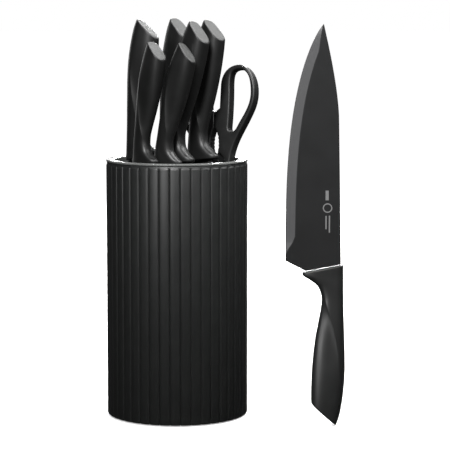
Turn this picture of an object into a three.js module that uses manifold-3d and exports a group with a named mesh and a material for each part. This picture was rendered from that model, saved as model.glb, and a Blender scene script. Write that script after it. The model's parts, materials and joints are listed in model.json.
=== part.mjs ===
// Knife block: a ribbed round shell filled with a lift-out pack of flexible rods, which holds
// six knives and a pair of shears. A seventh, a cook's knife, stands on its butt beside it.
// Millimetres, +Z up, the origin at the centre of the block's underside, -Y towards the front.
import * as THREE from 'three';
import { mergeVertices } from 'three/addons/utils/BufferGeometryUtils.js';
import Module from 'manifold-3d';

const wasm = await Module();
wasm.setup();

// ---- Clearances ----
const fitGap = 0.3; // between pieces that touch
const slotGap = 1.0; // between a blade and the rods around it
const liftGap = 0.6; // round the rod pack, so that it lifts out

// ---- Block ----
const blockRadius = 60;
const blockHeight = 218;
const shellWall = 5.5; // from the rib tips to the smooth bore
const ribCount = 42;
const ribDepth = 1.4;
const ribPoints = 5; // straight steps round one rib
const bandHeight = 1.8; // smooth band between the ribs and the rim
const bandInset = 0.7;
const rimThickness = 1.6;
const rimChamfer = 0.5;
const rimSkirtDepth = 9;
const rimSkirtWall = 1.6;
const roundSides = 72;

// ---- Base ----
const padThickness = 2.7;
const padInset = 1.2; // pad edge to shell bore
const shellLift = 1.0; // shell edge above the table
const plateThickness = 3.4;
const ledgeThickness = 3.0;
const ledgeWidth = 10;
const screwCount = 4;
const screwRadius = 1.5;
const screwHeadRadius = 3.0;
const screwHeadHeight = 1.5;
const screwLength = 6.2;
const screwSides = 16;

// ---- Rods ----
const trayThickness = 3.4;
const rodTopDrop = 4.8; // rod tips below the rim's face

// ---- Knife handle, as the cook's knife has it; smaller handles are scaled ----
const handleLength = 131.5; // guard line to the tip of the butt
const outlineLength = 131.5; // the handle length that the outlines below are drawn at
const handleRing = 20; // points round one section
const handleRoundness = 2.5; // exponent of the section's oval
const frontRise = 5.9; // the guard end leans this far over frontRun
const frontRun = 31.4;
const frontDatumX = -10.4; // where the guard end crosses the line below
const frontDatumZ = -2.6;
const buttBellyX = 13.3; // the slanted butt face runs from here
const buttBellyZ = 113.5;
const buttTipX = -7.4; // to here
// Outlines seen from the side: [distance from the guard line, offset towards the edge].
const bellyLine = [
  [-8, 21.2], [3, 21.2], [6.5, 20.4], [9, 16.4], [14, 9.4], [20, 6.1], [27, 5],
  [40, 6.8], [60, 10.4], [80, 12.5], [100, 13.4], [113, 13.4], [136, 12.8],
];
const spineLine = [
  [-8, -12.8], [26, -12.9], [55, -13.8], [79, -14.5], [95, -14.1], [112, -12.3],
  [124, -10], [131.5, buttTipX], [136, -5.6],
];
const halfThickness = [[-8, 7.2], [10, 7.2], [26, 7.6], [52, 9.4], [79, 10.6], [105, 10.3], [136, 8.2]];
const handleStations = [-7, 3, 5, 7, 9, 11.5, 15, 20, 27, 38, 52, 66, 80, 94, 106, 115, 123, 128, 132, 135];

// ---- Blades ----
const bladeThickness = 2.2;
const edgeThickness = 0.4;
const spineInset = 2; // blade spine from the handle's spine line
const bladeStations = 16;
const tangLength = 70;
const tangWidth = 9;
const tangOffset = -4; // centre line of the tang
const bevelShare = 0.18; // ground bevel over blade width
const narrowest = 0.6; // spine to edge at the very tip
const spineFall = 0.25; // how much of the way to the tip a straight spine comes down
const tipCurve = 1.6; // how late the spine bends to the tip
const bellyCurve = 0.8; // how the edge rises to the tip
const stationCrowding = 1.6; // more stations near the tip
const guardMargin = 3; // the blade's collar stops this far inside the guard's corner
const heelMargin = 1;
const heelSlope = 0.5; // the heel corner runs down towards the edge

// Handle scale, blade length and width, where the tip lies between spine and edge, where the
// spine starts to drop, and how square the edge runs up to the tip.
const kinds = {
  chef_knife: { handle: 1, length: 200, width: 46, tip: 0.33, drop: 0.62, square: 3.2 },
  slicing_knife: { handle: 0.9, length: 200, width: 28, tip: 0.3, drop: 0.8, square: 8 },
  bread_knife: { handle: 0.9, length: 200, width: 31, tip: 0.25, drop: 0.8, square: 14 },
  santoku_knife: { handle: 0.9, length: 178, width: 41, tip: 0.75, drop: 0.72, square: 7 },
  boning_knife: { handle: 0.9, length: 150, width: 24, tip: 0.3, drop: 0.7, square: 5 },
  utility_knife: { handle: 0.77, length: 127, width: 24, tip: 0.35, drop: 0.7, square: 4 },
  paring_knife: { handle: 0.77, length: 90, width: 20, tip: 0.4, drop: 0.6, square: 3.4 },
};

// Where each knife stands in the rods: the middle of its guard line, how far its edge is
// turned to the front, and how far its butt leans to the right and to the front, in degrees.
const stands = {
  slicing_knife: { x: -32.8, y: 15.9, above: -0.4, turn: 21.6, right: 2.9, front: -2.4 },
  bread_knife: { x: -6.5, y: 32.2, above: 0.2, turn: 37.8, right: 4, front: 2.8 },
  santoku_knife: { x: -1.2, y: -13.7, above: -1.3, turn: 36.4, right: 9.8, front: 0 },
  boning_knife: { x: 18.7, y: 5, above: -0.9, turn: 35.5, right: 5.8, front: -1.5 },
  utility_knife: { x: -9.8, y: -29, above: -1.8, turn: 28.5, right: 11, front: 2 },
  paring_knife: { x: -27.7, y: -30.3, above: -1.8, turn: 41.6, right: 6.7, front: 0 },
};
const looseKnifeX = 125.9;
const looseKnifeY = -47.5;

// ---- Shears, in a frame of their own: pivot at the origin, loops up ----
const shearsX = 33.4;
const shearsY = 15;
const shearsPivotDrop = 6; // pivot below the rim's face
const shearsTurn = 30;
const shearsLeanBack = -11.5;
const shearsOpening = 16; // degrees that the rods leave free
const loopThickness = 9;
const shearsPlate = 2.1;
const plateGap = 0.3;
const bossRadius = 9;
const pivotRadius = 2.4;
const pivotHeadRadius = 4.6;
const pivotHeadHeight = 1.7;
const pivotSides = 24;
const bossSides = 28;
const shearsBladeLength = 112;
const shearsBladeWidth = 15;
const shearsTangWidth = 4;
const shearsTangLength = 30;
const shearsTangAngle = 16; // degrees from upright, towards its own loop
const pocketDepth = 12; // room in the rods below the pivot for the boss
// The half with the right loop, as [x, z]; a curve is [control, control, end].
const shankFoot = [15, -2];
const loopOuter = [
  [[16, 14], [24, 24], [30, 34]],
  [[36, 44], [39.5, 50], [39.5, 60]],
  [[39.5, 74], [31, 84], [23, 84]],
  [[12, 84], [6, 76], [6, 66]],
];
const loopBridge = [[5, 48], [plateGap, 45], [plateGap, 32]]; // where the halves rest together
const loopJaw = [[3.5, 26], [4.4, 19], [3.2, 11]]; // one side of the toothed jaw
const loopHeel = [[0.62, 0.92], [0.98, 0.56], [1.07, 0]]; // round the boss, in boss radii
const holeFoot = [17, 27];
const loopHole = [
  [[20, 27], [21.5, 30], [24, 34]],
  [[31, 44], [35.3, 50], [35.3, 60]],
  [[35.3, 74], [31, 79.8], [23, 79.8]],
  [[17, 79.8], [15.5, 77], [15.5, 66]],
  [[15.5, 52], [14.6, 40], [13.8, 32]],
  [[13.3, 28.5], [14.8, 27], holeFoot],
];
// The half whose blade crosses to the left, as [share of blade width, share of blade length].
const shearsBladeLine = [
  [-0.17, 0], [0.54, -0.036], [0.25, -0.16], [0, -1], [-0.15, -0.991], [-0.55, -0.6],
  [-0.62, -0.16], [-0.54, -0.036],
];

// ---- Sizes that follow ----
const shellBore = blockRadius - shellWall;
const shellTop = blockHeight - rimThickness - fitGap;
const ribTop = shellTop - bandHeight;
const plateBottom = padThickness + fitGap;
const ledgeBottom = plateBottom + plateThickness + fitGap;
const ledgeTop = ledgeBottom + ledgeThickness;
const trayBottom = ledgeTop + fitGap;
const packBottom = trayBottom + trayThickness + fitGap;
const packTop = blockHeight - rodTopDrop;
const screwCircle = shellBore - ledgeWidth / 2;
const rimBore = shellBore - fitGap - rimSkirtWall;
const packRadius = rimBore - liftGap;
const toRadians = THREE.MathUtils.degToRad;

// ---- Finishes ----
function finish(color, roughness, metalness) {
  return new THREE.MeshStandardMaterial({ color, roughness, metalness });
}

const blackPlastic = finish(0x1d1f1e, 0.55, 0);
const rimPlastic = finish(0x6f716e, 0.5, 0);
const rodPlastic = finish(0x1a1b1a, 0.7, 0);
const padRubber = finish(0x111111, 0.9, 0);
const handlePlastic = finish(0x161817, 0.6, 0);
const coatedSteel = finish(0x2b2c2c, 0.45, 0.4);
const plainSteel = finish(0x9fa1a3, 0.35, 0.9);

// ---- Mesh building ----
function solidOf(geometry) {
  const bare = geometry.clone();
  bare.deleteAttribute('normal');
  bare.deleteAttribute('uv');
  const merged = mergeVertices(bare, 1e-4);
  return new wasm.Manifold(new wasm.Mesh({
    numProp: 3,
    vertProperties: new Float32Array(merged.attributes.position.array),
    triVerts: new Uint32Array(merged.index.array),
  }));
}

function geometryOf(solid) {
  const mesh = solid.getMesh();
  const geometry = new THREE.BufferGeometry();
  const position = new Float32Array(mesh.numVert * 3);
  for (let i = 0; i < mesh.numVert; i += 1) {
    for (let axis = 0; axis < 3; axis += 1) {
      position[i * 3 + axis] = mesh.vertProperties[i * mesh.numProp + axis];
    }
  }
  geometry.setAttribute('position', new THREE.BufferAttribute(position, 3));
  geometry.setIndex(new THREE.BufferAttribute(new Uint32Array(mesh.triVerts), 1));
  return geometry;
}

function meshOf(name, geometry, material) {
  const mesh = new THREE.Mesh(geometry, material);
  mesh.name = name;
  return mesh;
}

// A round bar standing on the plane z = bottom.
function bar(radius, bottom, top, sides = roundSides) {
  const geometry = new THREE.CylinderGeometry(radius, radius, top - bottom, sides);
  return geometry.rotateX(Math.PI / 2).translate(0, 0, (bottom + top) / 2);
}

// A turned piece from its half section, listed anticlockwise as [radius, height].
function turned(section, sides = roundSides) {
  const points = section.map(([radius, height]) => new THREE.Vector2(radius, height));
  points.push(points[0].clone());
  return new THREE.LatheGeometry(points, sides).rotateX(Math.PI / 2);
}

// A flat outline in X and Z, given its thickness along Y and centred on y = middle.
function plate(shape, thickness, middle = 0) {
  const settings = { depth: thickness, bevelEnabled: false, curveSegments: 8 };
  const geometry = new THREE.ExtrudeGeometry(shape, settings);
  return geometry.rotateX(Math.PI / 2).translate(0, middle + thickness / 2, 0);
}

function polygon(points) {
  return new THREE.Shape(points.map(([x, z]) => new THREE.Vector2(x, z)));
}

// A closed skin over rings of equal count, listed from low to high.
function loft(rings) {
  const count = rings[0].length;
  const position = rings.flat().flatMap((point) => [point.x, point.y, point.z]);
  const index = [];
  for (let row = 0; row + 1 < rings.length; row += 1) {
    for (let i = 0; i < count; i += 1) {
      const a = row * count + i;
      const b = row * count + ((i + 1) % count);
      index.push(a, b, b + count, a, b + count, a + count);
    }
  }
  const last = (rings.length - 1) * count;
  for (let i = 1; i + 1 < count; i += 1) {
    index.push(0, i + 1, i, last, last + i, last + i + 1);
  }
  const geometry = new THREE.BufferGeometry();
  geometry.setAttribute('position', new THREE.Float32BufferAttribute(position, 3));
  geometry.setIndex(index);
  return geometry;
}

function along(line) {
  const curve = new THREE.CubicInterpolant(line.map((p) => p[0]), line.map((p) => p[1]), 1);
  return (at) => curve.evaluate(at)[0];
}

// ---- Block pieces ----
function ribbedOutline() {
  const points = [];
  const groove = blockRadius - ribDepth;
  for (let rib = 0; rib < ribCount; rib += 1) {
    for (let step = 0; step < ribPoints; step += 1) {
      const across = step / ribPoints;
      const swell = Math.sqrt(Math.sin(Math.PI * across));
      const angle = ((rib + across) / ribCount) * 2 * Math.PI;
      const radius = groove + ribDepth * swell;
      points.push(new THREE.Vector2(radius * Math.cos(angle), radius * Math.sin(angle)));
    }
  }
  return new THREE.Shape(points);
}

function screwPlaces() {
  return Array.from({ length: screwCount }, (_, i) => {
    const angle = ((i + 0.5) / screwCount) * 2 * Math.PI;
    return [screwCircle * Math.cos(angle), screwCircle * Math.sin(angle)];
  });
}

function shell() {
  const ribs = new THREE.ExtrudeGeometry(ribbedOutline(), { depth: ribTop - shellLift, bevelEnabled: false });
  let body = solidOf(ribs.translate(0, 0, shellLift));
  body = body.add(solidOf(bar(blockRadius - bandInset, ribTop - bandHeight, shellTop)));
  body = body.subtract(solidOf(bar(shellBore, ledgeTop, blockHeight)));
  body = body.subtract(solidOf(bar(shellBore, 0, ledgeBottom)));
  body = body.subtract(solidOf(bar(shellBore - ledgeWidth, 0, blockHeight)));
  for (const [x, y] of screwPlaces()) {
    const hole = bar(screwRadius + fitGap, 0, blockHeight / 2, screwSides).translate(x, y, 0);
    body = body.subtract(solidOf(hole));
  }
  return meshOf('shell', geometryOf(body), blackPlastic);
}

function rimRing() {
  const outer = blockRadius - fitGap;
  const skirt = shellBore - fitGap;
  const section = [
    [rimBore, blockHeight - rimSkirtDepth], [skirt, blockHeight - rimSkirtDepth],
    [skirt, blockHeight - rimThickness], [outer - rimChamfer, blockHeight - rimThickness],
    [outer, blockHeight - rimThickness + rimChamfer], [outer, blockHeight - rimChamfer],
    [outer - rimChamfer, blockHeight], [rimBore + rimChamfer, blockHeight],
    [rimBore, blockHeight - rimChamfer],
  ];
  return meshOf('rim_ring', turned(section), rimPlastic);
}

function basePlate() {
  let body = solidOf(bar(shellBore - fitGap, plateBottom, plateBottom + plateThickness));
  for (const [x, y] of screwPlaces()) {
    const hole = bar(screwRadius + fitGap, 0, blockHeight, screwSides).translate(x, y, 0);
    const seat = bar(screwHeadRadius + fitGap, 0, plateBottom + screwHeadHeight + 2 * fitGap, screwSides);
    body = body.subtract(solidOf(hole)).subtract(solidOf(seat.translate(x, y, 0)));
  }
  return meshOf('base_plate', geometryOf(body), blackPlastic);
}

function baseScrew(number, x, y) {
  const bottom = plateBottom + fitGap;
  const section = [
    [0, bottom], [screwHeadRadius, bottom], [screwHeadRadius, bottom + screwHeadHeight],
    [screwRadius, bottom + screwHeadHeight], [screwRadius, bottom + screwLength], [0, bottom + screwLength],
  ];
  const mesh = meshOf(`base_screw_${number}`, turned(section, screwSides), plainSteel);
  mesh.position.set(x, y, 0);
  return mesh;
}

function basePad() {
  return meshOf('base_pad', bar(shellBore - padInset, 0, padThickness), padRubber);
}

function rodTray() {
  return meshOf('rod_tray', bar(packRadius, trayBottom, trayBottom + trayThickness), rodPlastic);
}

// ---- Knives ----
const bellyAt = along(bellyLine);
const spineAt = along(spineLine);
const thicknessAt = along(halfThickness);
const stretch = handleLength / outlineLength;

function handleSection(z, scale) {
  const belly = bellyAt(z);
  const spine = spineAt(z);
  const half = thicknessAt(z);
  return Array.from({ length: handleRing }, (_, i) => {
    const angle = (i / handleRing) * 2 * Math.PI;
    const roundX = Math.sign(Math.cos(angle)) * Math.abs(Math.cos(angle)) ** (2 / handleRoundness);
    const roundY = Math.sign(Math.sin(angle)) * Math.abs(Math.sin(angle)) ** (2 / handleRoundness);
    const x = (belly + spine) / 2 + (roundX * (belly - spine)) / 2;
    return new THREE.Vector3(x * scale, roundY * half * scale, z * scale * stretch);
  });
}

// The half space on one side of the line from (x1, z1) to (x2, z2), as a thick plate.
function beyond(x1, z1, x2, z2) {
  const reach = handleLength;
  const geometry = new THREE.BoxGeometry(4 * reach, reach, reach).translate(0, 0, reach / 2);
  geometry.rotateY(-Math.atan2(z2 - z1, x2 - x1));
  return solidOf(geometry.translate(x1, 0, z1));
}

// The guard end of a handle: the line that blade and handle share.
function frontAt(x, scale) {
  return frontDatumZ * scale + ((x - frontDatumX * scale) * frontRise) / frontRun;
}

function tang(grow, scale) {
  const width = tangWidth * scale + 2 * grow;
  const thickness = bladeThickness + 2 * grow;
  const bottom = -handleLength / 4;
  const top = tangLength * scale + grow;
  const box = new THREE.BoxGeometry(width, thickness, top - bottom);
  return box.translate(tangOffset * scale, 0, (top + bottom) / 2);
}

function handle(name, scale) {
  const skin = loft(handleStations.map((z) => handleSection(z, scale)));
  const low = -handleLength * scale;
  const front = beyond(low, frontAt(low, scale), 0, frontAt(0, scale));
  const buttLow = buttBellyZ * scale * stretch;
  const butt = beyond(buttTipX * scale, handleLength * scale, buttBellyX * scale, buttLow);
  const body = solidOf(skin).intersect(front).subtract(butt).subtract(solidOf(tang(fitGap, scale)));
  return meshOf(`${name}_handle`, geometryOf(body), handlePlastic);
}

function bladeOutline({ handle: scale, length, width, tip, drop, square }) {
  const back = (spineLine[0][1] + spineInset) * scale;
  const tipX = back + width * tip;
  return (share) => {
    const fall = Math.max(0, (share - drop) / (1 - drop)) ** tipCurve;
    const spine = back + (tipX - back) * (spineFall * share * (1 - fall) + fall);
    const edge = tipX + (back + width - tipX) * Math.max(0, 1 - share ** square) ** bellyCurve;
    return { spine, edge: Math.max(edge, spine + narrowest), z: -share * length };
  };
}

function bladeSection({ spine, edge, z }, width) {
  const ridge = Math.max(edge - width * bevelShare, (spine + edge) / 2);
  const half = bladeThickness / 2;
  const thin = edgeThickness / 2;
  const corners = [[spine, -half], [ridge, -half], [edge, -thin], [edge, thin], [ridge, half], [spine, half]];
  return corners.map(([x, y]) => new THREE.Vector3(x, y, z));
}

function blade(name, kind) {
  const outline = bladeOutline(kind);
  const rings = Array.from({ length: bladeStations }, (_, i) => {
    const share = 1 - (i / (bladeStations - 1)) ** stationCrowding;
    return bladeSection(outline(share), kind.width);
  });
  const collar = outline(0);
  rings.push(bladeSection({ ...collar, z: handleLength / 4 }, kind.width));
  const scale = kind.handle;
  const guardX = (bellyLine[0][1] - guardMargin) * scale;
  const heelX = Math.max(collar.edge, guardX) + heelMargin;
  const heelZ = frontAt(guardX, scale) - (heelX - guardX) * heelSlope;
  const mask = polygon([
    [-handleLength, -2 * kind.length], [heelX, -2 * kind.length], [heelX, heelZ],
    [guardX, frontAt(guardX, scale) - fitGap], [-handleLength, frontAt(-handleLength, scale) - fitGap],
  ]);
  const root = solidOf(plate(mask, handleLength));
  const steel = solidOf(loft(rings)).intersect(root).add(solidOf(tang(0, scale)));
  return meshOf(`${name}_blade`, geometryOf(steel), coatedSteel);
}

function knife(name) {
  const group = new THREE.Group();
  group.add(blade(name, kinds[name]), handle(name, kinds[name].handle));
  return group;
}

function standIn(group, { x, y, above, turn, right, front }) {
  group.position.set(x, y, blockHeight + above);
  group.rotation.set(toRadians(front), toRadians(right), toRadians(-turn), 'XYZ');
  group.updateMatrixWorld(true);
  return group;
}

function looseKnife() {
  const group = knife('chef_knife');
  group.position.set(looseKnifeX, looseKnifeY, handleLength);
  group.rotation.set(0, Math.PI, 0);
  return group;
}

// The space that one knife's blade needs in the rods, open at the top.
function bladeSlot(name) {
  const { handle: scale, length, width } = kinds[name];
  const back = (spineLine[0][1] + spineInset) * scale;
  const wide = width + 2 * slotGap;
  const deep = length + slotGap + handleLength;
  const box = new THREE.BoxGeometry(wide, bladeThickness + 2 * slotGap, deep);
  return box.translate(back + width / 2, 0, handleLength - deep / 2);
}

// ---- Shears ----
function follow(path, curves) {
  for (const [first, second, end] of curves) {
    path.bezierCurveTo(...first, ...second, ...end);
  }
}

function loopShape() {
  const shape = new THREE.Shape();
  const heel = loopHeel.map(([x, z]) => [x * bossRadius, z * bossRadius]);
  shape.moveTo(...heel[2]);
  shape.lineTo(...shankFoot);
  follow(shape, loopOuter);
  loopBridge.forEach((point) => shape.lineTo(...point));
  follow(shape, [loopJaw]);
  shape.lineTo(...heel[0]);
  shape.lineTo(...heel[1]);
  const hole = new THREE.Path();
  hole.moveTo(...holeFoot);
  follow(hole, loopHole);
  shape.holes.push(hole);
  return shape;
}

// One half's steel: the boss round the pivot, a tang up into the handle and the blade,
// which crosses to the other side below the pivot. side is 1 for the half with the right loop.
function shearsTang(side, grow) {
  const angle = toRadians(shearsTangAngle);
  const length = shearsTangLength + grow;
  const box = new THREE.BoxGeometry(shearsTangWidth + 2 * grow, shearsPlate + 2 * grow, length);
  box.translate(0, side * (shearsPlate + plateGap) / 2, length / 2);
  return box.rotateY(side * angle);
}

function shearsBlade(name, side) {
  const middle = (side * (shearsPlate + plateGap)) / 2;
  const line = shearsBladeLine.map(([x, z]) => [side * x * shearsBladeWidth, z * shearsBladeLength]);
  const boss = bar(bossRadius, -shearsPlate / 2, shearsPlate / 2, bossSides).rotateX(Math.PI / 2);
  const hole = bar(pivotRadius + fitGap, -loopThickness, loopThickness, pivotSides).rotateX(Math.PI / 2);
  const steel = solidOf(plate(polygon(line), shearsPlate, middle)).add(solidOf(boss.translate(0, middle, 0)));
  const body = steel.add(solidOf(shearsTang(side, 0))).subtract(solidOf(hole));
  return meshOf(name, geometryOf(body), coatedSteel);
}

function shearsHandle(name, side) {
  let body = solidOf(plate(loopShape(), loopThickness));
  if (side < 0) {
    body = body.mirror([1, 0, 0]);
  }
  body = body.subtract(solidOf(shearsTang(side, fitGap)));
  return meshOf(name, geometryOf(body), handlePlastic);
}

function pivotScrew() {
  const face = shearsPlate + plateGap / 2 + fitGap;
  const section = [
    [0, -face - pivotHeadHeight], [pivotHeadRadius, -face - pivotHeadHeight], [pivotHeadRadius, -face],
    [pivotRadius, -face], [pivotRadius, face + pivotHeadHeight], [0, face + pivotHeadHeight],
  ];
  return meshOf('shears_pivot_screw', turned(section, pivotSides).rotateX(-Math.PI / 2), plainSteel);
}

function pivotNut() {
  const face = shearsPlate + plateGap / 2 + fitGap;
  const bore = pivotRadius + fitGap;
  const top = face + pivotHeadHeight;
  const section = [[bore, face], [pivotHeadRadius, face], [pivotHeadRadius, top], [bore, top]];
  return meshOf('shears_pivot_nut', turned(section, pivotSides).rotateX(-Math.PI / 2), plainSteel);
}

function shears() {
  const group = new THREE.Group();
  group.add(
    shearsBlade('shears_blade_fixed', -1),
    shearsBlade('shears_blade_moving', 1),
    shearsHandle('shears_handle_fixed', -1),
    shearsHandle('shears_handle_moving', 1),
    pivotScrew(),
    pivotNut(),
  );
  group.position.set(shearsX, shearsY, blockHeight - shearsPivotDrop);
  group.rotation.set(toRadians(shearsLeanBack), 0, toRadians(-shearsTurn), 'XYZ');
  group.updateMatrixWorld(true);
  return group;
}

// The space the shears need in the rods: both blades, the swing of the moving one, and
// a wider pocket for the shanks and the pivot.
function shearsSlots() {
  const swing = shearsBladeLength * Math.sin(toRadians(shearsOpening)) + shearsBladeWidth;
  const thick = 2 * shearsPlate + plateGap + 2 * slotGap;
  const deep = shearsBladeLength + slotGap;
  const blades = new THREE.BoxGeometry(swing + shearsBladeWidth, thick, deep + handleLength);
  blades.translate((shearsBladeWidth / 2 - swing) / 2, 0, (handleLength - deep) / 2);
  const pocketWide = 2 * (shankFoot[0] + 2 * slotGap);
  const pocket = new THREE.BoxGeometry(pocketWide, 2 * (pivotHeadHeight + shearsPlate) + thick, handleLength);
  pocket.translate(0, 0, handleLength / 2 - pocketDepth);
  return [blades, pocket];
}

function rodPack(stood, shearsGroup) {
  let body = solidOf(bar(packRadius, packBottom, packTop));
  for (const [name, group] of stood) {
    body = body.subtract(solidOf(bladeSlot(name).applyMatrix4(group.matrixWorld)));
  }
  for (const slot of shearsSlots()) {
    body = body.subtract(solidOf(slot.applyMatrix4(shearsGroup.matrixWorld)));
  }
  return meshOf('rod_pack', geometryOf(body), rodPlastic);
}

// ---- Assembly ----
const model = new THREE.Group();
model.add(shell(), rimRing(), basePlate(), basePad(), rodTray());
screwPlaces().forEach(([x, y], i) => model.add(baseScrew(i + 1, x, y)));
const stood = Object.entries(stands).map(([name, stand]) => [name, standIn(knife(name), stand)]);
const shearsGroup = shears();
stood.forEach(([, group]) => model.add(group));
model.add(shearsGroup, looseKnife(), rodPack(stood, shearsGroup));

export default model;
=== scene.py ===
"""A round ribbed knife block with its rods, six knives, kitchen shears and a loose cook's knife.

Everything is in metres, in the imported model's frame: +Z up, -Y to the front.
"""

import math
import random

import bmesh
import bpy
from mathutils import Euler, Matrix, Vector
from mathutils.geometry import interpolate_bezier
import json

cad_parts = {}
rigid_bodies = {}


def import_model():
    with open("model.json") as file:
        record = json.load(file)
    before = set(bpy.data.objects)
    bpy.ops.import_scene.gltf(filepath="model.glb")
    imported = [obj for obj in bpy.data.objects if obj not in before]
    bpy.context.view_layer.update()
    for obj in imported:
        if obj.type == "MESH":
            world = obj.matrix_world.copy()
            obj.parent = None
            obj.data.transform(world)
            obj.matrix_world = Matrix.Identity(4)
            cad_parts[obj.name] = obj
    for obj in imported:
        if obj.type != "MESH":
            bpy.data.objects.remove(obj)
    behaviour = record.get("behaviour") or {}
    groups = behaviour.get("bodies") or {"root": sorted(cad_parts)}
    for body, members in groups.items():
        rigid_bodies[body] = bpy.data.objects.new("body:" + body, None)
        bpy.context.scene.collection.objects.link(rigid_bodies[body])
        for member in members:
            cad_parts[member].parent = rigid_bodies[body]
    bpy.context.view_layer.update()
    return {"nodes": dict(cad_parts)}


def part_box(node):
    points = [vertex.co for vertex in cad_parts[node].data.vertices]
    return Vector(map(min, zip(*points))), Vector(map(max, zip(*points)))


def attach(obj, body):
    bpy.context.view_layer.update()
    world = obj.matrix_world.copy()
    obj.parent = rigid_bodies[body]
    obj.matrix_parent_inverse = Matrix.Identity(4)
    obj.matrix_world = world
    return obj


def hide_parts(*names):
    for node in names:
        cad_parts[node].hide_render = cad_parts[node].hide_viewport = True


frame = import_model()
mm = 0.001

# ---------------------------------------------------------------------------------------------
# Camera: a long lens at the height of the knife handles, looking slightly down at the block.
# It stands a little to the right of the block, so that the loose knife is in view beside it.
camera_right = 53.0 * mm
camera_back = 1592.9 * mm
camera_height = 337.7 * mm
camera_dip = math.radians(6.3)
camera_swing = math.radians(0.445)
camera_sensor = 36
camera_lens = 151.05
camera_data = bpy.data.cameras.new("camera")
camera_data.sensor_width = camera_sensor
camera_data.lens = camera_lens
camera = bpy.data.objects.new("camera", camera_data)
camera.location = (camera_right, -camera_back, camera_height)
camera.rotation_euler = (math.pi / 2 - camera_dip, 0, camera_swing)
bpy.context.scene.collection.objects.link(camera)
bpy.context.scene.camera = camera


# ---------------------------------------------------------------------------------------------
# Shell: one injection moulding in black ABS, round, with rounded ribs all the way down and a
# plain band under the rim. An inner ledge near the bottom carries the rods and the base screws.
class Wire:
    """An output of a shader node. Sums on it add Math nodes, and node() adds any other."""

    def __init__(self, tree, socket=None):
        self.tree = tree
        self.socket = socket

    def node(self, kind, settings=None, sockets=None, out=0):
        made = self.tree.nodes.new(kind)
        for name, value in (settings or {}).items():
            setattr(made, name, value)
        for name, value in (sockets or {}).items():
            if isinstance(value, Wire):
                self.tree.links.new(value.socket, made.inputs[name])
            else:
                made.inputs[name].default_value = value
        return Wire(self.tree, made.outputs[out])

    def sum(self, operation, *values):
        return self.node("ShaderNodeMath", {"operation": operation}, dict(enumerate(values)))

    def __add__(self, other):
        return self.sum("ADD", self, other)

    def __mul__(self, other):
        return self.sum("MULTIPLY", self, other)

    def between(self, low, high):
        return self.node(
            "ShaderNodeMapRange",
            {"interpolation_type": "SMOOTHSTEP"},
            {"Value": self, "From Min": low, "From Max": high},
        )


def new_finish(name, roughness, metallic=0.0, specular=0.5):
    """A material with an empty Principled shader, and the wire its patterns start from."""
    material = bpy.data.materials.new(name)
    material.use_nodes = True
    shader = material.node_tree.nodes["Principled BSDF"]
    shader.inputs["Roughness"].default_value = roughness
    shader.inputs["Metallic"].default_value = metallic
    shader.inputs["Specular IOR Level"].default_value = specular
    return material, shader, Wire(material.node_tree)


def feed(shader, name, wire):
    wire.tree.links.new(wire.socket, shader.inputs[name])


def speckle(wire, size, detail=3.0, rough=0.6, stretch=(1, 1, 1), seed=0.0):
    """Noise with features of the given size, in Object coordinates, from 0 to 1."""
    place = wire.node("ShaderNodeTexCoord", out=3)
    scaled = wire.node(
        "ShaderNodeMapping", {}, {"Vector": place, "Scale": stretch, "Location": (seed, seed, seed)}
    )
    return wire.node(
        "ShaderNodeTexNoise",
        {},
        {"Vector": scaled, "Scale": 1 / size, "Detail": detail, "Roughness": rough},
    )


def tint(wire, share, dark, light):
    """A colour between two, by a share from 0 to 1."""
    return wire.node(
        "ShaderNodeMix",
        {"data_type": "RGBA"},
        {0: share, 6: (*dark, 1), 7: (*light, 1)},
        out=2,
    )


def relief(shader, wire, height, depth):
    bumped = wire.node("ShaderNodeBump", {}, {"Height": height, "Distance": depth, "Strength": 1.0})
    feed(shader, "Normal", bumped)


def finished_piece(bm, name, materials, body, stands_for=(), sharp=35.0):
    """Turns a bmesh into a piece that rides on a body and stands for some CAD nodes."""
    bmesh.ops.remove_doubles(bm, verts=bm.verts, dist=0.002 * mm)
    bmesh.ops.recalc_face_normals(bm, faces=bm.faces)
    mesh = bpy.data.meshes.new(name)
    bm.to_mesh(mesh)
    bm.free()
    for material in materials:
        mesh.materials.append(material)
    mesh.shade_smooth()
    mesh.set_sharp_from_angle(angle=math.radians(sharp))
    piece = bpy.data.objects.new(name, mesh)
    bpy.context.scene.collection.objects.link(piece)
    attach(piece, body)
    if stands_for:
        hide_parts(*stands_for)
    return piece


shell_low, shell_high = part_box("shell")
rim_low, rim_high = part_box("rim_ring")
plate_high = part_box("base_plate")[1]
tray_low, tray_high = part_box("rod_tray")
block_radius = shell_high.x
rib_count = 42
rib_steps = 16
rib_depth = 1.4 * mm
rib_swell = 0.26
rib_flat = 0.8
band_height = 1.8 * mm
band_inset = 0.7 * mm
fit_gap = 0.3 * mm
ledge_width = 10 * mm
shell_bore = plate_high.x + fit_gap
ledge_bore = shell_bore - ledge_width
edge_round = 0.5 * mm
edge_ease = 0.15 * mm
# The wall's rounded foot, and the ends of the ribs under the band, in millimetres: how far in,
# how far up from the foot or from the ends, and how much of the rib's depth is there.
foot_rounding = [(2.0, 0.0, 1), (0.6, 0.15, 1), (0.0, 0.9, 1)]
rib_ending = [(0.0, -1.3, 1), (0.12, -0.7, 0.95), (0.45, -0.2, 0.6)]


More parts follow.
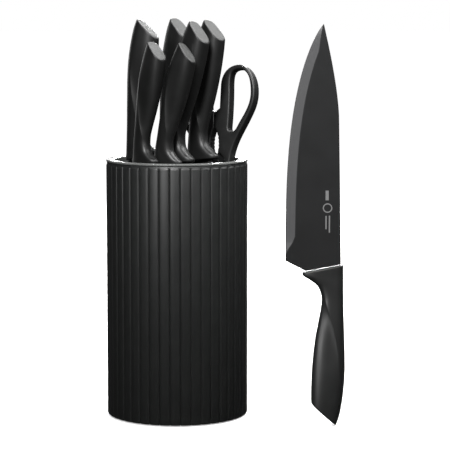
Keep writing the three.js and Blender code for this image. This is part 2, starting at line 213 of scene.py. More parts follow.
def shell_levels():
    """(radius inside the rib tips, height, rib share), round the wall's section and back."""
    top = shell_high.z
    rib_top = top - band_height
    foot = shell_low.z
    inside = block_radius - shell_bore
    ledge = block_radius - ledge_bore
    ribbed = [(inset * mm, foot + up * mm, share) for inset, up, share in foot_rounding]
    ribbed += [(inset * mm, rib_top + up * mm, share) for inset, up, share in rib_ending]
    plain = [
        (band_inset, rib_top),
        (band_inset, top - edge_round),
        (band_inset + edge_ease, top - edge_ease),
        (band_inset + edge_round, top),
        (inside, top),
        (inside, tray_low.z),
        (ledge, tray_low.z),
        (ledge, plate_high.z + fit_gap),
        (inside, plate_high.z + fit_gap),
        (inside, foot),
    ]
    return [(inside, foot, 0), *ribbed, *((inset, height, 0) for inset, height in plain)]


def shell_point(step, level):
    inset, height, ribbed = level
    across = step / rib_steps
    swell = 1 - math.sin(math.pi * across) ** rib_swell
    half = math.pi / rib_count
    angle = across * 2 * half
    flat = (math.cos(rib_flat * half) / math.cos(angle - half) - 1) * block_radius
    radius = block_radius - inset + ribbed * (min(0, flat) - rib_depth * swell)
    return Vector((radius * math.cos(angle), radius * math.sin(angle), height))


def ribbed_shell():
    bm = bmesh.new()
    levels = shell_levels()
    row = [bm.verts.new(shell_point(step, levels[0])) for step in range(rib_steps + 1)]
    edges = [bm.edges.new(pair) for pair in zip(row, row[1:])]
    for level in levels[1:]:
        grown = bmesh.ops.extrude_edge_only(bm, edges=edges)["geom"]
        edges = [g for g in grown if isinstance(g, bmesh.types.BMEdge)]
        row = [g for g in grown if isinstance(g, bmesh.types.BMVert)]
        row.sort(key=lambda v: math.atan2(v.co.y, v.co.x))
        for step, vert in enumerate(row):
            vert.co = shell_point(step, level)
    bmesh.ops.spin(
        bm,
        geom=bm.verts[:] + bm.edges[:] + bm.faces[:],
        axis=(0, 0, 1),
        angle=2 * math.pi,
        steps=rib_count,
        use_duplicate=True,
    )
    return bm


def black_plastic():
    material, shader, wire = new_finish("shell_black", 0.42, specular=0.5)
    mottle = speckle(wire, 9 * mm, 2)
    grain = speckle(wire, 0.35 * mm, 2)
    dark, light = (0.0078, 0.0083, 0.0081), (0.0118, 0.0125, 0.0122)
    feed(shader, "Base Color", tint(wire, mottle, dark, light))
    feed(shader, "Roughness", mottle * 0.1 + grain * 0.08 + 0.34)
    relief(shader, wire, grain, 0.012 * mm)
    return material


shell_black = black_plastic()
finished_piece(ribbed_shell(), "shell_skin", [shell_black], "block", ["shell"], 50)

# ---------------------------------------------------------------------------------------------
# Rim: a flat ring in a lighter satin plastic, snapped onto the shell by a thin skirt inside it.
lift_gap = 0.6 * mm
rim_bore = tray_high.x + lift_gap
rim_skirt = shell_bore - fit_gap
rim_foot = shell_high.z + fit_gap
rim_round = 0.45 * mm
turn_steps = 168
corner_share = 0.45


def turned(section, steps=turn_steps):
    """Spins a closed half section, listed as (radius, height), into a solid ring or disc."""
    bm = bmesh.new()
    row = [bm.verts.new((radius, 0, height)) for radius, height in section]
    edges = [bm.edges.new(pair) for pair in zip(row, row[1:] + row[:1])]
    bmesh.ops.spin(
        bm,
        geom=row + edges,
        axis=(0, 0, 1),
        angle=2 * math.pi,
        steps=steps,
        use_merge=True,
    )
    bmesh.ops.dissolve_degenerate(bm, dist=0.001 * mm, edges=bm.edges)
    return bm


def rounded(corners, radius, steps=3):
    """The same outline with its corners rounded by the given radius, where there is room."""
    points = []
    for i, here in enumerate(corners):
        before = Vector(corners[i - 1])
        after = Vector(corners[(i + 1) % len(corners)])
        at = Vector(here)
        shorter = min((before - at).length, (after - at).length)
        reach = min(radius, shorter * corner_share)
        start = at + (before - at).normalized() * reach
        end = at + (after - at).normalized() * reach
        for step in range(steps + 1):
            share = step / steps
            curve = start * (1 - share) ** 2 + at * 2 * share * (1 - share) + end * share**2
            points.append(tuple(curve))
    return points


rim_section = rounded(
    [
        (rim_bore, rim_low.z),
        (rim_skirt, rim_low.z),
        (rim_skirt, rim_foot),
        (rim_high.x, rim_foot),
        (rim_high.x, rim_high.z),
        (rim_bore, rim_high.z),
    ],
    rim_round,
)


def rim_plastic():
    material, shader, wire = new_finish("rim_grey", 0.4)
    grain = speckle(wire, 0.3 * mm, 2)
    wear = speckle(wire, 14 * mm, 3)
    feed(shader, "Base Color", tint(wire, wear, (0.085, 0.088, 0.085), (0.12, 0.123, 0.12)))
    feed(shader, "Roughness", wear * 0.12 + grain * 0.1 + 0.3)
    relief(shader, wire, grain, 0.01 * mm)
    return material


finished_piece(turned(rim_section), "rim", [rim_plastic()], "block", ["rim_ring"])

# ---------------------------------------------------------------------------------------------
# Underside: a moulded plate held by four steel screws, under a rubber pad with round grooves.
pad_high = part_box("base_pad")[1]
groove_count = 5
groove_pitch = 7 * mm
groove_width = 2.4 * mm
groove_depth = 0.5 * mm
groove_sides = [(-0.5, 0.0), (-0.3, groove_depth), (0.3, groove_depth), (0.5, 0.0)]
groove_start = 6 * mm
pad_chamfer = 0.8 * mm
pad_top_chamfer = 0.3 * mm
screw_count = 4


def pad_section():
    """(radius, height) round the pad, with grooves in its underside."""
    section = [(0.0, pad_high.z), (0.0, 0.0)]
    for number in range(1, groove_count + 1):
        middle = number * groove_pitch + groove_start
        section += [(middle + side * groove_width, height) for side, height in groove_sides]
    section += [(pad_high.x - pad_chamfer, 0.0), (pad_high.x, pad_chamfer)]
    section.append((pad_high.x, pad_high.z - pad_top_chamfer))
    section.append((pad_high.x - pad_top_chamfer, pad_high.z))
    return section


def pad_rubber():
    material, shader, wire = new_finish("pad_rubber", 0.8, specular=0.3)
    grain = speckle(wire, 0.8 * mm, 4)
    feed(shader, "Base Color", tint(wire, grain, (0.012, 0.012, 0.012), (0.022, 0.022, 0.022)))
    relief(shader, wire, grain, 0.05 * mm)
    return material


def bright_steel():
    material, shader, wire = new_finish("bright_steel", 0.3, metallic=1.0)
    lines = speckle(wire, 0.6 * mm, 3, stretch=(1, 6, 1))
    feed(shader, "Base Color", tint(wire, lines, (0.42, 0.42, 0.43), (0.6, 0.6, 0.61)))
    feed(shader, "Roughness", lines * 0.2 + 0.22)
    return material


def give_finish(node, material):
    """A CAD node that is seen as it is takes a finish in place of its plain one."""
    slots = frame["nodes"][node].data.materials
    slots.clear()
    slots.append(material)


steel = bright_steel()
finished_piece(
    turned(pad_section()), "grip_pad", [pad_rubber()], "block", ["base_pad"]
)
give_finish("base_plate", shell_black)
for number in range(1, screw_count + 1):
    give_finish(f"base_screw_{number}", steel)

# ---------------------------------------------------------------------------------------------
# Knives: seven from one pattern in three handle sizes. Each is placed by the middle of its guard
# line, with X towards its edge, Z up to its butt. Six lean in the rods, one stands on its butt.
# Handle scale, blade length and width, where the tip lies between spine and edge, where the spine
# starts to drop, and how square the edge runs up to the tip.
knife_table = [
    ("slicing_knife", 0.9, 200, 28, 0.3, 0.8, 8),
    ("bread_knife", 0.9, 200, 31, 0.25, 0.8, 14),
    ("santoku_knife", 0.9, 178, 41, 0.75, 0.72, 7),
    ("boning_knife", 0.9, 150, 24, 0.3, 0.7, 5),
    ("utility_knife", 0.77, 127, 24, 0.35, 0.7, 4),
    ("paring_knife", 0.77, 90, 20, 0.4, 0.6, 3.4),
    ("chef_knife", 1, 200, 46, 0.33, 0.62, 3.2),
]
kind_words = ("scale", "length", "width", "tip", "drop", "square")
knife_kinds = {name: dict(zip(kind_words, sizes)) for name, *sizes in knife_table}
# Place of the guard line, then the turn of the edge to the front and the butt's lean to the
# right and to the front.
knife_stands = {
    "slicing_knife": ((-32.8, 15.9, 217.6), 21.6, 2.9, -2.4),
    "bread_knife": ((-6.5, 32.2, 218.2), 37.8, 4, 2.8),
    "santoku_knife": ((-1.2, -13.7, 216.7), 36.4, 9.8, 0),
    "boning_knife": ((18.7, 5, 217.1), 35.5, 5.8, -1.5),
    "utility_knife": ((-9.8, -29, 216.2), 28.5, 11, 2),
    "paring_knife": ((-27.7, -30.3, 216.2), 41.6, 6.7, 0),
    "chef_knife": ((125.9, -47.5, 131.5), 0, 180, 0),
}
handle_length = 131.5
belly_line = [
    (-8, 21.2), (3, 21.2), (6.5, 20.4), (9, 16.4), (14, 9.4), (20, 6.1), (27, 5), (40, 6.8),
    (60, 10.4), (80, 12.5), (100, 13.4), (113, 13.4), (136, 12.8),
]  # fmt: skip
spine_line = [
    (-8, -12.8), (26, -12.9), (55, -13.8), (79, -14.5), (95, -14.1), (112, -12.3), (124, -10),
    (131.5, -7.4), (136, -5.6),
]  # fmt: skip
half_thickness = [(-8, 7.2), (10, 7.2), (26, 7.6), (52, 9.4), (79, 10.6), (105, 10.3), (136, 8.2)]
# The crease on each side of the grip: distance from the guard, and share of the width from the
# spine.
crease_line = [
    (10, 1.15), (17, 1.0), (21, 0.93), (31, 0.76), (43.5, 0.5), (56, 0.34), (66, 0.26), (81, 0.2),
    (105, 0.15),
]  # fmt: skip
crease_depth = 2.1
crease_run = 3.2
crease_share = 0.6
crease_limit = 0.93
crease_start = (3, 20)
crease_end = (52, 118)
crown_share = 1.2
ring_points = 100
front_line = (-2.6, -10.4, 5.9 / 31.4)
butt_belly = (13.3, 113.5)
butt_tip = (-7.4, 131.5)
butt_slope = (butt_tip[1] - butt_belly[1]) / (butt_tip[0] - butt_belly[0])
butt_line = (butt_belly[1], butt_belly[0], butt_slope)
belly_roundness = 2.5
spine_roundness = 3.1
slant_tries = 6
end_round = 1.1
end_steps = 5
end_middle = 2.2
# Rings up the grip, by distance from the guard: closer together along the neck than the body.
skin_length = handle_length - 10
neck_rings = [1.6 + 0.9 * i for i in range(30)]
body_rings = [28.6 + 1.75 * i for i in range(49)]
butt_rings = [skin_length - 4, skin_length - 2.4]
grip_sharp = 21


def smooth_line(points):
    """A smooth curve through (at, value) points."""
    ats = [at for at, _ in points]
    values = [value for _, value in points]
    slopes = []
    for i in range(len(points)):
        a, b = max(0, i - 1), min(len(points) - 1, i + 1)
        slopes.append((values[b] - values[a]) / (ats[b] - ats[a]))

    def value_at(at):
        at = min(max(at, ats[0]), ats[-1])
        i = max(k for k in range(len(ats) - 1) if ats[k] <= at or k == 0)
        span = ats[i + 1] - ats[i]
        t = (at - ats[i]) / span
        return (
            values[i] * (1 + 2 * t) * (1 - t) ** 2
            + slopes[i] * span * t * (1 - t) ** 2
            + values[i + 1] * t * t * (3 - 2 * t)
            + slopes[i + 1] * span * t * t * (t - 1)
        )

    return value_at


belly_at = smooth_line(belly_line)
spine_at = smooth_line(spine_line)
thickness_at = smooth_line(half_thickness)
crease_at = smooth_line(crease_line)


def ease(value, low, high):
    share = min(max((value - low) / (high - low), 0), 1)
    return share * share * (3 - 2 * share)


def grip_point(share, side, along, inset):
    """A point on the grip's skin, on a ring that slants from the guard's plane to the butt's.

    share runs from the belly, 0, to the spine, 1. A fixed share of it lies on the belly's side
    of the crease, so that the crease is a line of the mesh, and the skin sinks past it."""
    z = handle_length * along
    for _ in range(slant_tries):
        belly, spine = belly_at(z), spine_at(z)
        at_crease = math.acos(2 * min(crease_limit, crease_at(z)) - 1)
        if share < crease_share:
            turn = at_crease * share / crease_share
        else:
            turn = at_crease + (math.pi - at_crease) * (share - crease_share) / (1 - crease_share)
        u = math.cos(turn)
        x = (belly + spine) / 2 + u * ((belly - spine) / 2 - inset)
        front = front_line[0] + (x - front_line[1]) * front_line[2]
        butt = butt_line[0] + (x - butt_line[1]) * butt_line[2]
        z = front * (1 - along) + butt * along
    half = thickness_at(z) - inset
    roundness = belly_roundness if u > 0 else spine_roundness
    crown = max(0.0, 1 - abs(u) ** roundness) ** (1 / roundness)
    past = x - spine - min(crease_limit, crease_at(z)) * (belly - spine)
    fade = ease(z, *crease_start) * (1 - ease(z, *crease_end))
    sunk = crease_depth * (1 - math.exp(-past / crease_run)) if share < crease_share else 0
    return Vector((x, side * (half * crown - sunk * fade * min(1, crown * crown_share)), z))


def skin_over(rings, close_ends=True):
    """A closed skin over rings of points: the first ring's edges are drawn from ring to ring."""
    bm = bmesh.new()
    number = bm.verts.layers.int.new("number")
    row = []
    for i, point in enumerate(rings[0]):
        vert = bm.verts.new(point)
        vert[number] = i
        row.append(vert)
    ends = [[bm.edges.new((row[i - 1], row[i])) for i in range(len(row))]]
    edges = ends[0]
    for ring in rings[1:]:
        grown = bmesh.ops.extrude_edge_only(bm, edges=edges)["geom"]
        edges = [g for g in grown if isinstance(g, bmesh.types.BMEdge)]
        for g in grown:
            if isinstance(g, bmesh.types.BMVert):
                g.co = ring[g[number]]
    if close_ends:
        for end in (ends[0], edges):
            bmesh.ops.edgeloop_fill(bm, edges=end)
    return bm


def grip_rings(scale):
    """Rings from the guard's face over its rounded lip, up the grip, to the butt's cut face."""
    curve = [math.pi / 2 * k / end_steps for k in range(end_steps + 1)]
    lip = [(end_round * (1 - math.cos(a)), end_round * (1 - math.sin(a))) for a in curve]
    middle = end_round * end_middle
    stations = [(0, middle), *lip]
    stations += [(at, 0) for at in neck_rings + body_rings + butt_rings]
    stations += [(skin_length - at, inset) for at, inset in reversed(lip)]
    stations.append((skin_length, middle))
    half_ring = ring_points // 2
    turns = [(i / half_ring, 1) for i in range(1, half_ring)]
    turns += [(share, -1) for share, _ in reversed(turns)]
    return [
        [grip_point(share, side, at / skin_length, inset) * scale for share, side in turns]
        for at, inset in stations
    ]


def knife_place(name):
    """Takes a point of the knife's own frame, in millimetres, to its place in metres."""
    place, turn, right, front = knife_stands[name]
    turned_by = Euler((math.radians(front), math.radians(right), math.radians(-turn)), "XYZ")
    spin_z = Matrix.Rotation(turned_by.z, 4, "Z")
    spin_y = Matrix.Rotation(turned_by.y, 4, "Y")
    spin_x = Matrix.Rotation(turned_by.x, 4, "X")
    return Matrix.Scale(mm, 4) @ Matrix.Translation(place) @ spin_x @ spin_y @ spin_z


def soft_black(name, dark, light, rough_low, rough_span, grain_size, grain_depth, seed=0.0):
    """Moulded plastic with a fine spark-eroded grain and a slight unevenness from handling."""
    material, shader, wire = new_finish(name, rough_low, specular=0.45)
    mottle = speckle(wire, 16 * mm, 3, seed=seed)
    grain = speckle(wire, grain_size, 2, seed=seed)
    feed(shader, "Base Color", tint(wire, mottle, dark, light))
    feed(shader, "Roughness", mottle * rough_span + grain * 0.06 + rough_low)
    relief(shader, wire, grain, grain_depth)
    return material


grip_black = soft_black(
    "grip_black", (0.005, 0.0052, 0.0051), (0.008, 0.0082, 0.0081), 0.33, 0.1, 0.3 * mm, 0.012 * mm
)
# The butt's cut faces take a base colour several times lighter than the grip. The grain on them is
# real, but the extra lightness is painted light, standing in for the light the upturned cut faces
# catch from above.
butt_grain = soft_black(
    "butt_grain", (0.03, 0.031, 0.03), (0.05, 0.051, 0.05), 0.38, 0.12, 0.35 * mm, 0.05 * mm
)


def add_grip(name):
    scale = knife_kinds[name]["scale"]
    bm = skin_over(grip_rings(scale))
    # The butt's cut face and the faces round its rim take the lighter butt material, whose
    # lightness is painted light.
    cut = max(bm.faces, key=lambda face: (len(face.verts), face.calc_center_median().z))
    cut.material_index = 1
    for edge in cut.edges:
        for face in edge.link_faces:
            face.material_index = 1
    bmesh.ops.transform(bm, matrix=knife_place(name), verts=bm.verts)
    finished_piece(
        bm,
        f"{name}_grip",
        [grip_black, butt_grain],
        name,
        [f"{name}_handle"],
        grip_sharp,
    )


for knife in knife_kinds:
    add_grip(knife)

# ---------------------------------------------------------------------------------------------
# Blades: stamped steel with a satin black coating, a flat and a ground bevel along the edge. The
# bread knife's edge is scalloped. A printed ring and bars mark the cook's knife.
blade_thickness = 2.2
edge_thickness = 0.3
bevel_share = 0.18
guard_gap = 0.3
scallop_pitch = 7.5
scallop_depth = 1.3
scallop_end = 0.97
scallop_bow = 0.7
bevel_points = {3, 4, 5, 6}
narrowest_bevel = 0.4
bevel_start = (9, 27)
narrowest = 0.6
spine_inset = 2
spine_fall = 0.25
tip_curve = 1.6
belly_curve = 0.8
taper = 0.35
taper_run = (0.4, 1)
corner_soft = 0.35
ridge_drop = 0.08
scallop_rings = 220
plain_rings = 56
ring_crowding = 1.5
root_reach = 12
guard_margin = 3
heel_slope = -0.5
blade_sharp = 4


def blade_line(kind, share):
    """(spine, edge) of a blade at a share of its length from the guard."""
    back = (spine_line[0][1] + spine_inset) * kind["scale"]
    tip = back + kind["width"] * kind["tip"]
    fall = max(0, (share - kind["drop"]) / (1 - kind["drop"])) ** tip_curve
    spine = back + (tip - back) * (spine_fall * share * (1 - fall) + fall)
    left = max(0, 1 - share ** kind["square"]) ** belly_curve
    return spine, max(tip + (back + kind["width"] - tip) * left, spine + narrowest)


def blade_ring(kind, share, scalloped):
    spine, edge = blade_line(kind, share)
    length = kind["length"]
    half = blade_thickness / 2 * (1 - taper * ease(share, *taper_run))
    thin = edge_thickness / 2
    bevel = kind["width"] * bevel_share
    if kind["scale"] == 1:
        bevel *= ease(share * length, *bevel_start)
    ridge = max(edge - max(bevel, narrowest_bevel), (spine + edge) / 2)
    if scalloped and share < scallop_end:
        bow = abs(math.sin(math.pi * share * length / scallop_pitch)) ** scallop_bow
        edge -= scallop_depth * bow
    soft = min(corner_soft, (edge - spine) / 6)
    side = [(spine, half - soft), (spine + soft, half), (ridge - soft, half)]
    side += [(ridge + soft, half - (half - thin) * ridge_drop), (edge, thin)]
    ring = [(x, y) for x, y in side] + [(x, -y) for x, y in reversed(side)]
    return [Vector((x, y, -share * length)) for x, y in ring]


def blade_body(name):
    """A blade in its knife's frame, cut off at the guard's slant and along the heel."""
    kind = knife_kinds[name]
    scale = kind["scale"]
    scalloped = name == "bread_knife"
    count = scallop_rings if scalloped else plain_rings
    crowding = 1 if scalloped else ring_crowding
    shares = [1 - (i / count) ** crowding for i in range(count + 1)]
    rings = [blade_ring(kind, share, scalloped) for share in shares]
    rings.append([point + Vector((0, 0, root_reach)) for point in rings[-1]])
    bm = skin_over(rings)
    guard_x = (belly_line[0][1] - guard_margin) * scale
    guard_z = (front_line[0] - guard_gap / scale) * scale
    guard_z += (guard_x - front_line[1] * scale) * front_line[2]
    for slope in (front_line[2], heel_slope):
        bmesh.ops.bisect_plane(
            bm,
            geom=bm.verts[:] + bm.edges[:] + bm.faces[:],
            plane_co=(guard_x, 0, guard_z),
            plane_no=(-slope, 0, 1),
            clear_outer=True,
        )
        open_edges = [edge for edge in bm.edges if edge.is_boundary]
        bmesh.ops.holes_fill(bm, edges=open_edges)
    number = bm.verts.layers.int["number"]
    for face in bm.faces:
        if {vert[number] for vert in face.verts} <= bevel_points:
            face.material_index = 1
    return bm


def ground_bevel():
    """The bevel is ground after stamping, so its coating is lighter, with lines across it."""
    material, shader, wire = new_finish("ground_bevel", 0.42, specular=0.5)
    lines = speckle(wire, 0.8 * mm, 3, stretch=(0.2, 1, 4))
    feed(shader, "Base Color", tint(wire, lines, (0.026, 0.026, 0.027), (0.035, 0.035, 0.036)))
    feed(shader, "Roughness", lines * 0.15 + 0.36)
    return material


def coated_steel():
    """Fine grinding lines across the blade show through the coating, with faint smudges."""
    material, shader, wire = new_finish("coated_steel", 0.4, specular=0.24)
    lines = speckle(wire, 1.2 * mm, 3, stretch=(0.15, 1, 3))
    smudge = speckle(wire, 22 * mm, 4)
    fine = speckle(wire, 0.25 * mm, 2)
    dark, light = (0.0058, 0.0059, 0.006), (0.0085, 0.0087, 0.009)
    feed(shader, "Base Color", tint(wire, smudge, dark, light))
    feed(shader, "Roughness", smudge * 0.08 + lines * 0.08 + 0.34)
    relief(shader, wire, lines * 0.6 + fine * 0.4, 0.006 * mm)
    return material


coated = coated_steel()
bevelled = ground_bevel()
for knife in knife_kinds:
    blade = blade_body(knife)
    bmesh.ops.transform(blade, matrix=knife_place(knife), verts=blade.verts)
    finished_piece(
        blade,
        f"{knife}_steel",
        [coated, bevelled],
        knife,
        [f"{knife}_blade"],
        blade_sharp,
    )

mark_x = 0.6
mark_ring_radius = 3.9
mark_ring_z = -49.8
mark_ring_line = 0.9
mark_print = 0.03
mark_steps = 40
# Bars: offset across the blade, middle, width and length.
mark_bars = [(0.4, -60.2, 2.6, 8), (-1.6, -36.5, 1.1, 14), (1.2, -37.8, 1.1, 11)]


def printed_mark():
    """A thin ring between one wide bar and two long ones, on the blade's side that faces front."""
    outside, inside = mark_ring_radius, mark_ring_radius - mark_ring_line
    section = [(outside, 0), (outside, mark_print), (inside, mark_print), (inside, 0)]
    bm = turned(section, mark_steps)
    bmesh.ops.translate(bm, vec=(mark_x, mark_ring_z, 0), verts=bm.verts)
    for offset, middle, width, length in mark_bars:
        bar = bmesh.ops.create_cube(bm, size=1)["verts"]
        bmesh.ops.scale(bm, vec=(width, length, mark_print), verts=bar)
        bmesh.ops.translate(bm, vec=(mark_x + offset, middle, mark_print / 2), verts=bar)
    bmesh.ops.rotate(bm, matrix=Matrix.Rotation(math.pi / 2, 3, "X"), verts=bm.verts)
    bmesh.ops.translate(bm, vec=(0, -blade_thickness / 2, 0), verts=bm.verts)
    bmesh.ops.transform(bm, matrix=knife_place("chef_knife"), verts=bm.verts)
    return bm


mark_ink, ink_shader, ink_wire = new_finish("mark_ink", 0.5)
ink_wear = speckle(ink_wire, 1.5 * mm, 3)
feed(ink_shader, "Base Color", tint(ink_wire, ink_wear, (0.16, 0.16, 0.16), (0.24, 0.24, 0.24)))
finished_piece(printed_mark(), "blade_mark", [mark_ink], "chef_knife")

# ---------------------------------------------------------------------------------------------
# Shears: two black plastic halves moulded round steel blades, held by a screw and a nut. Their own
# frame has the pivot at its origin, the loops up, and Y through their thickness.
shears_pivot = (33.4, 15, 212)
shears_turn = math.radians(-30)
shears_lean = math.radians(-11.5)
grip_thickness = 9
strap_round = 1.5
shank_foot = (15, -2)
loop_outer = [
    ((16, 14), (24, 24), (30, 34)),
    ((36, 44), (39.5, 50), (39.5, 60)),
    ((39.5, 74), (31, 84), (23, 84)),
    ((12, 84), (6, 76), (6, 66)),
]
loop_bridge = [(5, 48), (0.3, 45), (0.3, 32)]
loop_jaw = ((3.5, 26), (4.4, 19), (3.2, 11))
loop_heel = [(5.6, 8.3), (8.8, 5), (9.6, 0)]
hole_foot = (17, 27)
loop_hole = [
    ((20, 27), (21.5, 30), (24, 34)),
    ((31, 44), (35.3, 50), (35.3, 60)),
    ((35.3, 74), (31, 79.8), (23, 79.8)),
    ((17, 79.8), (15.5, 77), (15.5, 66)),
    ((15.5, 52), (14.6, 40), (13.8, 32)),
    ((13.3, 28.5), (14.8, 27), hole_foot),
]
curve_steps = 14
tooth_depth = 0.55
toothed_share = (0.25, 0.9)
corner_reach = 1.5
corner_square = 0.4
loop_seed = 4.0


def follow(start, curves):
    """Points along bezier curves, without the start."""
    points = []
    for first, second, end in curves:
        corners = [Vector((*corner, 0)) for corner in (start, first, second, end)]
        run = interpolate_bezier(*corners, curve_steps + 1)
        points += [(point.x, point.y) for point in run[1:]]
        start = end
    return points


def loop_outline():
    outline = [shank_foot] + follow(shank_foot, loop_outer) + loop_bridge
    jaw = follow(loop_bridge[-1], [loop_jaw])
    for i, (x, z) in enumerate(jaw):
        toothed = toothed_share[0] < i / len(jaw) < toothed_share[1]
        outline.append((x + (tooth_depth if toothed and i % 2 else 0), z))
    return outline + loop_heel


def rounded_plate(outlines, thickness, rounding, steps=4):
    """A plate between outlines in X and Z, its first outline outside, with rounded edges."""
    bm = bmesh.new()
    for lines, side in zip(outlines, [1] + [-1] * (len(outlines) - 1)):
        count = len(lines)
        area = sum(
            lines[i - 1][0] * lines[i][1] - lines[i][0] * lines[i - 1][1] for i in range(count)
        )
        outward = side * math.copysign(1, area)
        normals = []
        for i in range(count):
            before = Vector(lines[i]) - Vector(lines[i - 1])
            after = Vector(lines[(i + 1) % count]) - Vector(lines[i])
            across = before.normalized() + after.normalized()
            across.normalize()
            reach = min(corner_reach, 1 / max(corner_square, across.dot(after.normalized())))
            normals.append(Vector((across.y, -across.x)) * outward * reach)
        levels = [
            (rounding * (1 - math.sin(a)), rounding * (1 - math.cos(a)))
            for a in (math.pi / 2 * k / steps for k in range(steps + 1))
        ]
        rows = [(y, inset) for inset, y in levels] + [
            (thickness - y, inset) for inset, y in reversed(levels)
        ]
        rings = []
        for y, inset in rows:
            ring = [Vector(p) - n * inset for p, n in zip(lines, normals)]
            rings.append([Vector((p.x, y - thickness / 2, p.y)) for p in ring])
        wall = skin_over(rings, close_ends=False)
        held = bpy.data.meshes.new("wall")
        wall.to_mesh(held)
        wall.free()
        bm.from_mesh(held)
        bpy.data.meshes.remove(held)
    for sign in (-1, 1):
        face_edges = [
            edge
            for edge in bm.edges
            if edge.is_boundary and all(v.co.y * sign > 0 for v in edge.verts)
        ]
        bmesh.ops.triangle_fill(bm, use_beauty=True, edges=face_edges)
    return bm


def shears_place():
    lean = Matrix.Rotation(shears_lean, 4, "X")
    turn = Matrix.Rotation(shears_turn, 4, "Z")
    return Matrix.Scale(mm, 4) @ Matrix.Translation(shears_pivot) @ lean @ turn


loop_black = soft_black(
    "loop_black",
    (0.007, 0.0072, 0.0071),
    (0.011, 0.0113, 0.0112),
    0.34,
    0.1,
    0.3 * mm,
    0.012 * mm,
    loop_seed,
)
for half, body, side in (("moving", "shears_moving", 1), ("fixed", "shears", -1)):
    hole = [hole_foot] + follow(hole_foot, loop_hole)[:-1]
    grip = rounded_plate([loop_outline(), hole], grip_thickness, strap_round)
    bmesh.ops.scale(grip, vec=(side, 1, 1), verts=grip.verts)
    bmesh.ops.transform(grip, matrix=shears_place(), verts=grip.verts)
    finished_piece(
        grip,
        f"shears_grip_{half}",
        [loop_black],
        body,
        [f"shears_handle_{half}"],
        35,
    )

for node in ("shears_blade_fixed", "shears_blade_moving"):
    give_finish(node, coated)
for node in ("shears_pivot_screw", "shears_pivot_nut"):
    give_finish(node, steel)

# ---------------------------------------------------------------------------------------------
# Rods: about sixteen hundred thin flexible plastic rods stand in a round tray that lifts out.
# They part round each blade and close up again beside it.
rod_radius = 0.85
rod_sides = 6
rod_pitch = 2.42
rod_top = 213.1
rod_foot = tray_high.z / mm + 0.3
pack_radius = tray_high.x / mm
rod_levels = [rod_foot, 70, 120, 165, 196, 209]
rod_settle = 8
rod_margin = 0.3
plan_margin = 0.5
row_step = 0.866
rod_scatter = 0.18
tip_scatter = 1.5
tip_taper = 0.4
tip_round = 0.35
level_hair = 0.01
blade_room = 1
blade_half_gap = 2.3
gap_end = 3
shears_blade_length = 112
# Beside the shears: half the gap's length and its half width, at the boss and at the blades.
boss_depth = -9
boss_gap = (17.5, 5.6)
shears_gap = (9.5, 3.5)
dice = random.Random(41)


def axes_of(place, height):
    """A frame's point at a height, its way across, and how far along its own Z that is."""
    at, along, up = (place @ Vector(v) / mm for v in ((0, 0, 0), (1, 0, 0), (0, 0, 1)))
    depth = (height - at.z) / (up - at).z
    return at + (up - at) * depth, along - at, depth


def blade_gaps(height):
    """For each blade at a height: a point on its plane, its way across, its ends and half gap."""
    gaps = []
    for name, kind in knife_kinds.items():
        if name == "chef_knife":
            continue
        point, along, depth = axes_of(knife_place(name), height)
        share = min(max(-depth / kind["length"], 0), 1)
        if share >= 1:
            continue
        spine, edge = blade_line(kind, share)
        gaps.append((point, along, spine - blade_room, edge + blade_room, blade_half_gap))
    point, along, depth = axes_of(shears_place(), height)
    if depth > -shears_blade_length:
        wide, half = boss_gap if depth > boss_depth else shears_gap
        gaps.append((point, along, -wide, wide, half))
    return gaps


def rod_at(x, y, gaps):
    """Where a rod that stands at (x, y) in a full pack goes when blades push it aside."""
    start = Vector((x, y))
    moved = start.copy()
    for point, along, low, high, half in gaps:
        way = Vector((along.x, along.y)).normalized()
        side = Vector((-way.y, way.x))
        offset = moved - Vector((point.x, point.y))
        across, reach = offset.dot(side), offset.dot(way)
        beyond = max(0, low - reach, reach - high)
        settle = rod_settle * half / blade_half_gap
        push = half * math.exp(-abs(across) / settle) * math.exp(-((beyond / gap_end) ** 2))
        moved += side * math.copysign(push, across)
    limit = pack_radius - rod_radius - rod_margin
    if moved.length > limit:
        moved *= limit / moved.length
    return moved


def rod_plan():
    """Every rod's place at each level and the height of its tip, over a hexagonal plan."""
    gaps = [blade_gaps(height) for height in rod_levels]
    plan = []
    rows = int(pack_radius / rod_pitch) + 2
    for row in range(-rows, rows + 1):
        for column in range(-rows, rows + 1):
            x = (column + 0.5 * (row % 2)) * rod_pitch
            y = row * rod_pitch * row_step
            if math.hypot(x, y) > pack_radius - rod_radius - plan_margin:
                continue
            x += dice.uniform(-rod_scatter, rod_scatter)
            y += dice.uniform(-rod_scatter, rod_scatter)
            tip = rod_top - dice.uniform(0, tip_scatter)
            plan.append(([rod_at(x, y, level) for level in gaps], tip))
    return plan


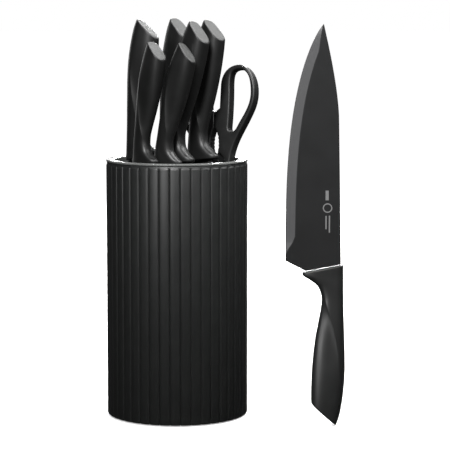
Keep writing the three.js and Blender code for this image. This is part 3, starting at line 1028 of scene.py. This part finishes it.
def rod_bundle():
    """All the rods as one mesh: rings drawn up level by level, then in to a blunt tip."""
    plan = rod_plan()
    bm = bmesh.new()
    number = bm.verts.layers.int.new("rod")
    for i, (places, _) in enumerate(plan):
        made = bmesh.ops.create_circle(bm, cap_ends=False, radius=rod_radius, segments=rod_sides)
        for vert in made["verts"]:
            vert[number] = i
            vert.co += Vector((places[0].x, places[0].y, rod_levels[0]))
    edges = bm.edges[:]
    for level, height in [*enumerate(rod_levels[1:], 1), (-1, None), (-1, None)]:
        grown = bmesh.ops.extrude_edge_only(bm, edges=edges)["geom"]
        edges = [g for g in grown if isinstance(g, bmesh.types.BMEdge)]
        for vert in (g for g in grown if isinstance(g, bmesh.types.BMVert)):
            places, tip = plan[vert[number]]
            if height is None:
                rounding = vert.co.z > rod_levels[-1] + level_hair
                if rounding:
                    vert.co.x -= (vert.co.x - places[-1].x) * tip_taper
                    vert.co.y -= (vert.co.y - places[-1].y) * tip_taper
                vert.co.z = tip if rounding else tip - tip_round
            else:
                shift = places[level] - places[level - 1]
                vert.co = Vector((vert.co.x + shift.x, vert.co.y + shift.y, height))
    open_edges = [edge for edge in bm.edges if edge.is_boundary]
    bmesh.ops.holes_fill(bm, edges=open_edges, sides=rod_sides)
    bmesh.ops.scale(bm, vec=(mm, mm, mm), verts=bm.verts)
    return bm


rod_black = soft_black(
    "rod_black", (0.016, 0.0162, 0.016), (0.03, 0.031, 0.03), 0.3, 0.1, 0.5 * mm, 0.01 * mm
)
finished_piece(rod_bundle(), "rods", [rod_black], "insert", ["rod_pack"], 30)
give_finish("rod_tray", shell_black)

# ---------------------------------------------------------------------------------------------
# Studio: a pale floor under a white surround that only the camera sees in full. A key from the
# front, a panel behind that draws bright edges, and some panels that light only certain pieces.
floor_size = 40.0
glow_run = (0.25, 1.2)
glow_near = (0.4, 0.4, 0.4)
glow_far = (1, 1, 1)
ambient = 0.028
floor_mesh = bmesh.new()
bmesh.ops.create_grid(floor_mesh, x_segments=1, y_segments=1, size=floor_size)
floor_data = bpy.data.meshes.new("floor")
floor_mesh.to_mesh(floor_data)
floor_mesh.free()
floor_white, floor_shader, floor_wire = new_finish("floor_white", 0.6, specular=0.2)
floor_shader.inputs["Base Color"].default_value = (0.9, 0.9, 0.9, 1)
floor_place = floor_wire.node("ShaderNodeTexCoord", out=3)
floor_far = floor_wire.node(
    "ShaderNodeVectorMath", {"operation": "LENGTH"}, {0: floor_place}, out=1
)
glow_share = floor_far.between(*glow_run)
feed(floor_shader, "Emission Color", tint(floor_wire, glow_share, glow_near, glow_far))
floor_shader.inputs["Emission Strength"].default_value = 1.0
floor_data.materials.append(floor_white)
floor = bpy.data.objects.new("floor", floor_data)
floor.visible_glossy = False
floor.visible_diffuse = False
bpy.context.scene.collection.objects.link(floor)

world = bpy.data.worlds.new("surround")
world.use_nodes = True
world_tree = world.node_tree
surround = world_tree.nodes["Background"]
surround_wire = Wire(world_tree)
seen = surround_wire.node("ShaderNodeLightPath")
strength = seen * (1 - ambient) + ambient
world_tree.links.new(strength.socket, surround.inputs["Strength"])
surround.inputs["Color"].default_value = (1, 1, 1, 1)
bpy.context.scene.world = world


def soft_panel(name, place, aim, size, power):
    data = bpy.data.lights.new(name, "AREA")
    data.shape = "RECTANGLE"
    data.size, data.size_y = size
    data.energy = power
    panel = bpy.data.objects.new(name, data)
    panel.location = place
    panel.rotation_euler = (Vector(aim) - Vector(place)).to_track_quat("-Z", "Y").to_euler()
    panel.visible_camera = False
    bpy.context.scene.collection.objects.link(panel)
    return panel


def lit_alone(panel, name, wanted):
    """The panel lights only the pieces whose names start with one of the words."""
    group = bpy.data.collections.new(name)
    for piece in bpy.context.scene.objects:
        if piece.type == "MESH" and piece.name.startswith(wanted):
            group.objects.link(piece)
    panel.light_linking.receiver_collection = group


soft_panel("key_left", (-0.2, -1.0, 0.95), (0, 0, 0.24), (0.3, 0.5), 19)
soft_panel("fill_right", (0.7, -1.15, 1.05), (0, 0, 0.22), (0.6, 0.6), 8)
soft_panel("back_panel", (0.0, 1.5, 1.3), (0, 0, 0.25), (1.8, 0.9), 19)
soft_panel("back_fill", (0.05, 1.7, 0.6), (0.03, 0, 0.2), (0.3, 0.4), 24)
soft_panel("top_right", (0.75, 0.15, 1.25), (0, 0, 0.3), (0.9, 0.9), 26)
stripe = soft_panel("stripe", (-0.4, -1.0, 0.36), (0, 0, 0.22), (0.12, 0.3), 2.6)
lit_alone(stripe, "block_alone", ("shell", "rim"))
edge_panel = soft_panel("edge_left", (-0.9, 0.75, 0.5), (0, 0, 0.28), (0.25, 0.6), 2)
grip_words = ("slicing", "bread", "santoku", "boning", "utility", "paring", "shears")
lit_alone(edge_panel, "grips_alone", grip_words)
knife_panel = soft_panel("knife_left", (-0.55, -0.7, 0.45), (0.12, -0.05, 0.16), (0.3, 0.9), 12)
lit_alone(knife_panel, "loose_knife", ("chef_knife",))

scene = bpy.context.scene
scene.view_settings.view_transform = "Standard"
scene.view_settings.look = "None"
scene.view_settings.exposure = 0
scene.view_settings.gamma = 1
